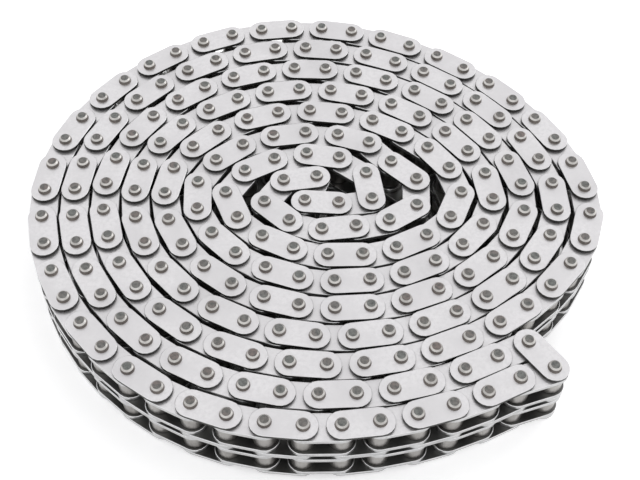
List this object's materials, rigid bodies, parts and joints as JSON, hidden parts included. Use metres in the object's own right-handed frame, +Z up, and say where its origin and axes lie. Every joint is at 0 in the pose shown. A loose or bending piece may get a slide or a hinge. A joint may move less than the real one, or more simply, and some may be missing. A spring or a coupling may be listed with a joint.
{
  "type": "timing chain",
  "caption": "Endless duplex roller chain for a timing drive, coiled on its side; the outer run of links swings out on its pins and its rollers spin.",
  "frame": {"origin": "middle of the coil's bounds, on the plane that its pin ends stand on", "axes": "+Z up, along every pin; +X along the coil's longer side; +Y away from the side that the fold is on"},
  "size_m": [0.1609, 0.1478, 0.0236],
  "materials": {
    "plate_steel": "satin, barrelled",
    "pin_steel": "riveted ends, dull",
    "bush_steel": "smooth",
    "roller_steel": "smooth, ground"
  },
  "bodies": {
    "coil": {"coil_outer_plates": "plate_steel", "coil_middle_plates": "plate_steel", "coil_inner_plates": "plate_steel", "coil_rollers": "roller_steel", "coil_pin_ends": "pin_steel", "anchor_pin": "pin_steel"},
    "run_link_01": {"run_link_01_plates": "plate_steel", "run_link_01_bushes": "bush_steel"},
    "run_link_01_lower_near_roller": {"run_link_01_lower_near_roller": "roller_steel"},
    "run_link_01_lower_far_roller": {"run_link_01_lower_far_roller": "roller_steel"},
    "run_link_01_upper_near_roller": {"run_link_01_upper_near_roller": "roller_steel"},
    "run_link_01_upper_far_roller": {"run_link_01_upper_far_roller": "roller_steel"},
    "run_link_02": {"run_link_02_plates": "plate_steel", "run_link_02_pins": "pin_steel"},
    "run_link_03": {"run_link_03_plates": "plate_steel", "run_link_03_bushes": "bush_steel"},
    "run_link_03_lower_near_roller": {"run_link_03_lower_near_roller": "roller_steel"},
    "run_link_03_lower_far_roller": {"run_link_03_lower_far_roller": "roller_steel"},
    "run_link_03_upper_near_roller": {"run_link_03_upper_near_roller": "roller_steel"},
    "run_link_03_upper_far_roller": {"run_link_03_upper_far_roller": "roller_steel"},
    "run_link_04": {"run_link_04_plates": "plate_steel", "run_link_04_pins": "pin_steel"},
    "run_link_05": {"run_link_05_plates": "plate_steel", "run_link_05_bushes": "bush_steel"},
    "run_link_05_lower_near_roller": {"run_link_05_lower_near_roller": "roller_steel"},
    "run_link_05_lower_far_roller": {"run_link_05_lower_far_roller": "roller_steel"},
    "run_link_05_upper_near_roller": {"run_link_05_upper_near_roller": "roller_steel"},
    "run_link_05_upper_far_roller": {"run_link_05_upper_far_roller": "roller_steel"},
    "run_link_06": {"run_link_06_plates": "plate_steel", "run_link_06_pins": "pin_steel"},
    "run_link_07": {"run_link_07_plates": "plate_steel", "run_link_07_bushes": "bush_steel"},
    "run_link_07_lower_near_roller": {"run_link_07_lower_near_roller": "roller_steel"},
    "run_link_07_lower_far_roller": {"run_link_07_lower_far_roller": "roller_steel"},
    "run_link_07_upper_near_roller": {"run_link_07_upper_near_roller": "roller_steel"},
    "run_link_07_upper_far_roller": {"run_link_07_upper_far_roller": "roller_steel"},
    "run_link_08": {"run_link_08_plates": "plate_steel", "run_link_08_pins": "pin_steel"},
    "run_link_09": {"run_link_09_plates": "plate_steel", "run_link_09_bushes": "bush_steel"},
    "run_link_09_lower_near_roller": {"run_link_09_lower_near_roller": "roller_steel"},
    "run_link_09_lower_far_roller": {"run_link_09_lower_far_roller": "roller_steel"},
    "run_link_09_upper_near_roller": {"run_link_09_upper_near_roller": "roller_steel"},
    "run_link_09_upper_far_roller": {"run_link_09_upper_far_roller": "roller_steel"},
    "run_link_10": {"run_link_10_plates": "plate_steel", "run_link_10_pins": "pin_steel"},
    "run_link_11": {"run_link_11_plates": "plate_steel", "run_link_11_bushes": "bush_steel"},
    "run_link_11_lower_near_roller": {"run_link_11_lower_near_roller": "roller_steel"},
    "run_link_11_lower_far_roller": {"run_link_11_lower_far_roller": "roller_steel"},
    "run_link_11_upper_near_roller": {"run_link_11_upper_near_roller": "roller_steel"},
    "run_link_11_upper_far_roller": {"run_link_11_upper_far_roller": "roller_steel"},
    "run_link_12": {"run_link_12_plates": "plate_steel", "run_link_12_pins": "pin_steel"}
  },
  "joints": [
    {"name": "link_pivot_01", "type": "hinge", "parent": "coil", "child": "run_link_01", "pos_m": [-0.0392, -0.06022, 0], "axis": [0, 0, -1], "range_deg": [0, 18]},
    {"name": "roller_spin_01_lower_near", "type": "hinge", "parent": "run_link_01", "child": "run_link_01_lower_near_roller", "pos_m": [-0.0392, -0.06022, 0.00667], "axis": [0, 0, 1], "continuous": true},
    {"name": "roller_spin_01_lower_far", "type": "hinge", "parent": "run_link_01", "child": "run_link_01_lower_far_roller", "pos_m": [-0.03062, -0.06437, 0.00667], "axis": [0, 0, 1], "continuous": true},
    {"name": "roller_spin_01_upper_near", "type": "hinge", "parent": "run_link_01", "child": "run_link_01_upper_near_roller", "pos_m": [-0.0392, -0.06022, 0.01691], "axis": [0, 0, 1], "continuous": true},
    {"name": "roller_spin_01_upper_far", "type": "hinge", "parent": "run_link_01", "child": "run_link_01_upper_far_roller", "pos_m": [-0.03062, -0.06437, 0.01691], "axis": [0, 0, 1], "continuous": true},
    {"name": "link_pivot_02", "type": "hinge", "parent": "run_link_01", "child": "run_link_02", "pos_m": [-0.03062, -0.06437, 0], "axis": [0, 0, -1], "range_deg": [0, 18]},
    {"name": "link_pivot_03", "type": "hinge", "parent": "run_link_02", "child": "run_link_03", "pos_m": [-0.02158, -0.06737, 0], "axis": [0, 0, -1], "range_deg": [0, 18]},
    {"name": "roller_spin_03_lower_near", "type": "hinge", "parent": "run_link_03", "child": "run_link_03_lower_near_roller", "pos_m": [-0.02158, -0.06737, 0.00667], "axis": [0, 0, 1], "continuous": true},
    {"name": "roller_spin_03_lower_far", "type": "hinge", "parent": "run_link_03", "child": "run_link_03_lower_far_roller", "pos_m": [-0.01224, -0.06921, 0.00667], "axis": [0, 0, 1], "continuous": true},
    {"name": "roller_spin_03_upper_near", "type": "hinge", "parent": "run_link_03", "child": "run_link_03_upper_near_roller", "pos_m": [-0.02158, -0.06737, 0.01691], "axis": [0, 0, 1], "continuous": true},
    {"name": "roller_spin_03_upper_far", "type": "hinge", "parent": "run_link_03", "child": "run_link_03_upper_far_roller", "pos_m": [-0.01224, -0.06921, 0.01691], "axis": [0, 0, 1], "continuous": true},
    {"name": "link_pivot_04", "type": "hinge", "parent": "run_link_03", "child": "run_link_04", "pos_m": [-0.01224, -0.06921, 0], "axis": [0, 0, -1], "range_deg": [0, 18]},
    {"name": "link_pivot_05", "type": "hinge", "parent": "run_link_04", "child": "run_link_05", "pos_m": [-0.00274, -0.06996, 0], "axis": [0, 0, -1], "range_deg": [0, 18]},
    {"name": "roller_spin_05_lower_near", "type": "hinge", "parent": "run_link_05", "child": "run_link_05_lower_near_roller", "pos_m": [-0.00274, -0.06996, 0.00667], "axis": [0, 0, 1], "continuous": true},
    {"name": "roller_spin_05_lower_far", "type": "hinge", "parent": "run_link_05", "child": "run_link_05_lower_far_roller", "pos_m": [0.00678, -0.06968, 0.00667], "axis": [0, 0, 1], "continuous": true},
    {"name": "roller_spin_05_upper_near", "type": "hinge", "parent": "run_link_05", "child": "run_link_05_upper_near_roller", "pos_m": [-0.00274, -0.06996, 0.01691], "axis": [0, 0, 1], "continuous": true},
    {"name": "roller_spin_05_upper_far", "type": "hinge", "parent": "run_link_05", "child": "run_link_05_upper_far_roller", "pos_m": [0.00678, -0.06968, 0.01691], "axis": [0, 0, 1], "continuous": true},
    {"name": "link_pivot_06", "type": "hinge", "parent": "run_link_05", "child": "run_link_06", "pos_m": [0.00678, -0.06968, 0], "axis": [0, 0, -1], "range_deg": [0, 18]},
    {"name": "link_pivot_07", "type": "hinge", "parent": "run_link_06", "child": "run_link_07", "pos_m": [0.01623, -0.06848, 0], "axis": [0, 0, -1], "range_deg": [0, 18]},
    {"name": "roller_spin_07_lower_near", "type": "hinge", "parent": "run_link_07", "child": "run_link_07_lower_near_roller", "pos_m": [0.01623, -0.06848, 0.00667], "axis": [0, 0, 1], "continuous": true},
    {"name": "roller_spin_07_lower_far", "type": "hinge", "parent": "run_link_07", "child": "run_link_07_lower_far_roller", "pos_m": [0.02553, -0.06642, 0.00667], "axis": [0, 0, 1], "continuous": true},
    {"name": "roller_spin_07_upper_near", "type": "hinge", "parent": "run_link_07", "child": "run_link_07_upper_near_roller", "pos_m": [0.01623, -0.06848, 0.01691], "axis": [0, 0, 1], "continuous": true},
    {"name": "roller_spin_07_upper_far", "type": "hinge", "parent": "run_link_07", "child": "run_link_07_upper_far_roller", "pos_m": [0.02553, -0.06642, 0.01691], "axis": [0, 0, 1], "continuous": true},
    {"name": "link_pivot_08", "type": "hinge", "parent": "run_link_07", "child": "run_link_08", "pos_m": [0.02553, -0.06642, 0], "axis": [0, 0, -1], "range_deg": [0, 18]},
    {"name": "link_pivot_09", "type": "hinge", "parent": "run_link_08", "child": "run_link_09", "pos_m": [0.03462, -0.06357, 0], "axis": [0, 0, -1], "range_deg": [0, 18]},
    {"name": "roller_spin_09_lower_near", "type": "hinge", "parent": "run_link_09", "child": "run_link_09_lower_near_roller", "pos_m": [0.03462, -0.06357, 0.00667], "axis": [0, 0, 1], "continuous": true},
    {"name": "roller_spin_09_lower_far", "type": "hinge", "parent": "run_link_09", "child": "run_link_09_lower_far_roller", "pos_m": [0.04344, -0.05998, 0.00667], "axis": [0, 0, 1], "continuous": true},
    {"name": "roller_spin_09_upper_near", "type": "hinge", "parent": "run_link_09", "child": "run_link_09_upper_near_roller", "pos_m": [0.03462, -0.06357, 0.01691], "axis": [0, 0, 1], "continuous": true},
    {"name": "roller_spin_09_upper_far", "type": "hinge", "parent": "run_link_09", "child": "run_link_09_upper_far_roller", "pos_m": [0.04344, -0.05998, 0.01691], "axis": [0, 0, 1], "continuous": true},
    {"name": "link_pivot_10", "type": "hinge", "parent": "run_link_09", "child": "run_link_10", "pos_m": [0.04344, -0.05998, 0], "axis": [0, 0, -1], "range_deg": [0, 18]},
    {"name": "link_pivot_11", "type": "hinge", "parent": "run_link_10", "child": "run_link_11", "pos_m": [0.05194, -0.05569, 0], "axis": [0, 0, -1], "range_deg": [0, 18]},
    {"name": "roller_spin_11_lower_near", "type": "hinge", "parent": "run_link_11", "child": "run_link_11_lower_near_roller", "pos_m": [0.05194, -0.05569, 0.00667], "axis": [0, 0, 1], "continuous": true},
    {"name": "roller_spin_11_lower_far", "type": "hinge", "parent": "run_link_11", "child": "run_link_11_lower_far_roller", "pos_m": [0.06093, -0.05253, 0.00667], "axis": [0, 0, 1], "continuous": true},
    {"name": "roller_spin_11_upper_near", "type": "hinge", "parent": "run_link_11", "child": "run_link_11_upper_near_roller", "pos_m": [0.05194, -0.05569, 0.01691], "axis": [0, 0, 1], "continuous": true},
    {"name": "roller_spin_11_upper_far", "type": "hinge", "parent": "run_link_11", "child": "run_link_11_upper_far_roller", "pos_m": [0.06093, -0.05253, 0.01691], "axis": [0, 0, 1], "continuous": true},
    {"name": "fold_link_pivot", "type": "hinge", "parent": "run_link_11", "child": "run_link_12", "pos_m": [0.06093, -0.05253, 0], "axis": [0, 0, -1], "range_deg": [0, 108]}
  ]
}
